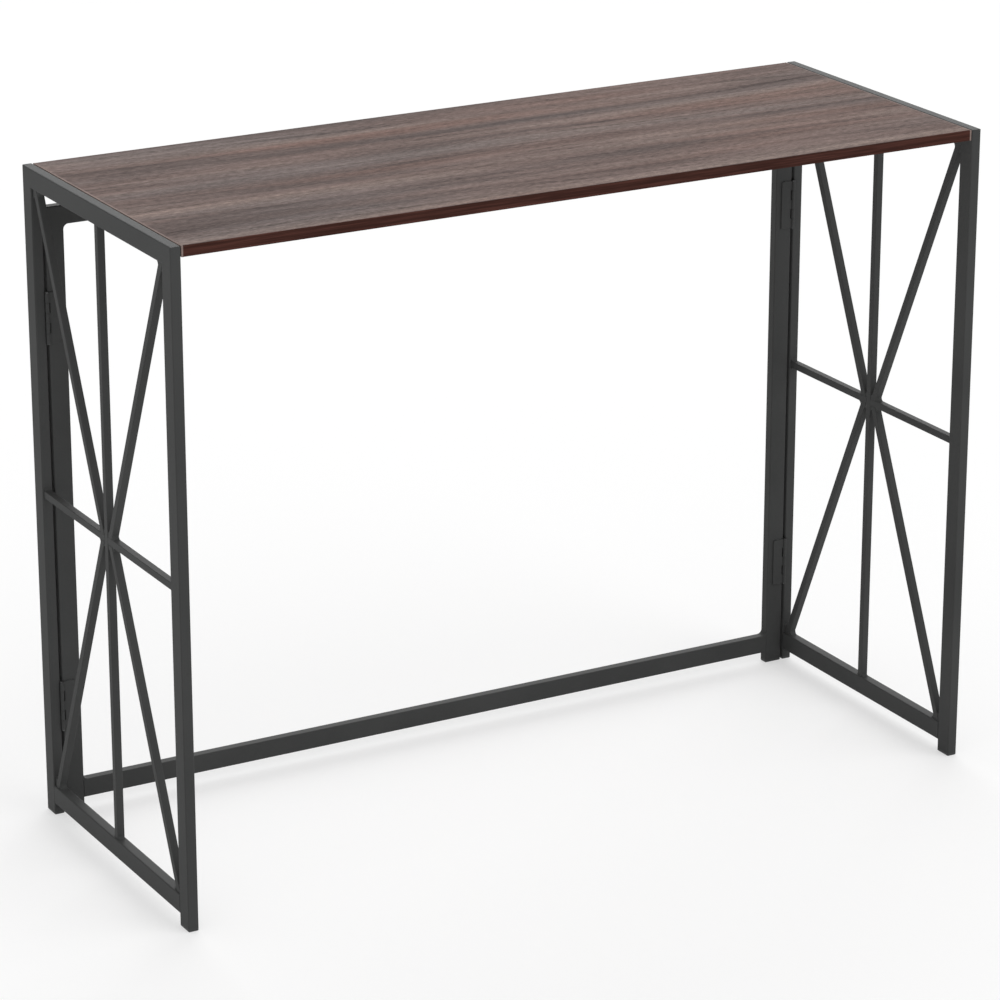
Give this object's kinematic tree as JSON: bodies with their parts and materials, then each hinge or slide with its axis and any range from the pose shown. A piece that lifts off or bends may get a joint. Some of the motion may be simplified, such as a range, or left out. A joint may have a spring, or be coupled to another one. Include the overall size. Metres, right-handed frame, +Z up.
{
  "type": "folding console table",
  "caption": "Slim console table with a lift-off wood-look board between hinged, star-braced side frames of flat tube that fold inward against a plain rear frame.",
  "frame": {"origin": "on the floor, under the middle of the table", "axes": "+X along the table to the right, +Y from the front to the rear frame, +Z up"},
  "size_m": [1, 0.38, 0.76],
  "materials": {
    "frame_metal": "satin",
    "hinge_leaf": "satin",
    "hinge_pin": "satin",
    "foot_plastic": "matte",
    "board_face": "satin",
    "board_edge": "satin"
  },
  "bodies": {
    "rear_frame": {"left_lower_hinge_pin": "hinge_pin", "left_lower_hinge_rear_leaf": "hinge_leaf", "left_upper_hinge_pin": "hinge_pin", "left_upper_hinge_rear_leaf": "hinge_leaf", "rear_bottom_rail": "frame_metal", "rear_left_foot": "foot_plastic", "rear_left_post": "frame_metal", "rear_right_foot": "foot_plastic", "rear_right_post": "frame_metal", "rear_top_rail": "frame_metal", "right_lower_hinge_pin": "hinge_pin", "right_lower_hinge_rear_leaf": "hinge_leaf", "right_upper_hinge_pin": "hinge_pin", "right_upper_hinge_rear_leaf": "hinge_leaf"},
    "left_frame": {"left_bottom_rail": "frame_metal", "left_front_foot": "foot_plastic", "left_front_post": "frame_metal", "left_front_tab": "frame_metal", "left_lower_hinge_side_leaf": "hinge_leaf", "left_rear_foot": "foot_plastic", "left_rear_post": "frame_metal", "left_rear_tab": "frame_metal", "left_star_front_bar": "frame_metal", "left_star_lower_front_arm": "frame_metal", "left_star_lower_rear_arm": "frame_metal", "left_star_rear_bar": "frame_metal", "left_star_upper_front_arm": "frame_metal", "left_star_upper_rear_arm": "frame_metal", "left_star_upright": "frame_metal", "left_top_rail": "frame_metal", "left_upper_hinge_side_leaf": "hinge_leaf"},
    "right_frame": {"right_bottom_rail": "frame_metal", "right_front_foot": "foot_plastic", "right_front_post": "frame_metal", "right_front_tab": "frame_metal", "right_lower_hinge_side_leaf": "hinge_leaf", "right_rear_foot": "foot_plastic", "right_rear_post": "frame_metal", "right_rear_tab": "frame_metal", "right_star_front_bar": "frame_metal", "right_star_lower_front_arm": "frame_metal", "right_star_lower_rear_arm": "frame_metal", "right_star_rear_bar": "frame_metal", "right_star_upper_front_arm": "frame_metal", "right_star_upper_rear_arm": "frame_metal", "right_star_upright": "frame_metal", "right_top_rail": "frame_metal", "right_upper_hinge_side_leaf": "hinge_leaf"},
    "tabletop": {"tabletop_front_band": "board_edge", "tabletop_left_band": "board_face", "tabletop_panel": "board_face", "tabletop_rear_band": "board_edge", "tabletop_right_band": "board_face"}
  },
  "joints": [
    {"name": "tabletop_lift", "type": "slide", "parent": "rear_frame", "child": "tabletop", "axis": [0, 0, 1], "range_m": [0, 0.4]},
    {"name": "left_fold", "type": "hinge", "parent": "rear_frame", "child": "left_frame", "pos_m": [-0.4865, 0.1665, 0.361], "axis": [0, 0, 1], "range_deg": [0, 90]},
    {"name": "right_fold", "type": "hinge", "parent": "rear_frame", "child": "right_frame", "pos_m": [0.4865, 0.1665, 0.361], "axis": [0, 0, -1], "range_deg": [0, 90]}
  ],
  "couplings": [
    {"joint": "left_fold", "follows": "tabletop_lift", "rad_per_m": 3.9269},
    {"joint": "right_fold", "follows": "tabletop_lift", "rad_per_m": 3.9269}
  ]
}
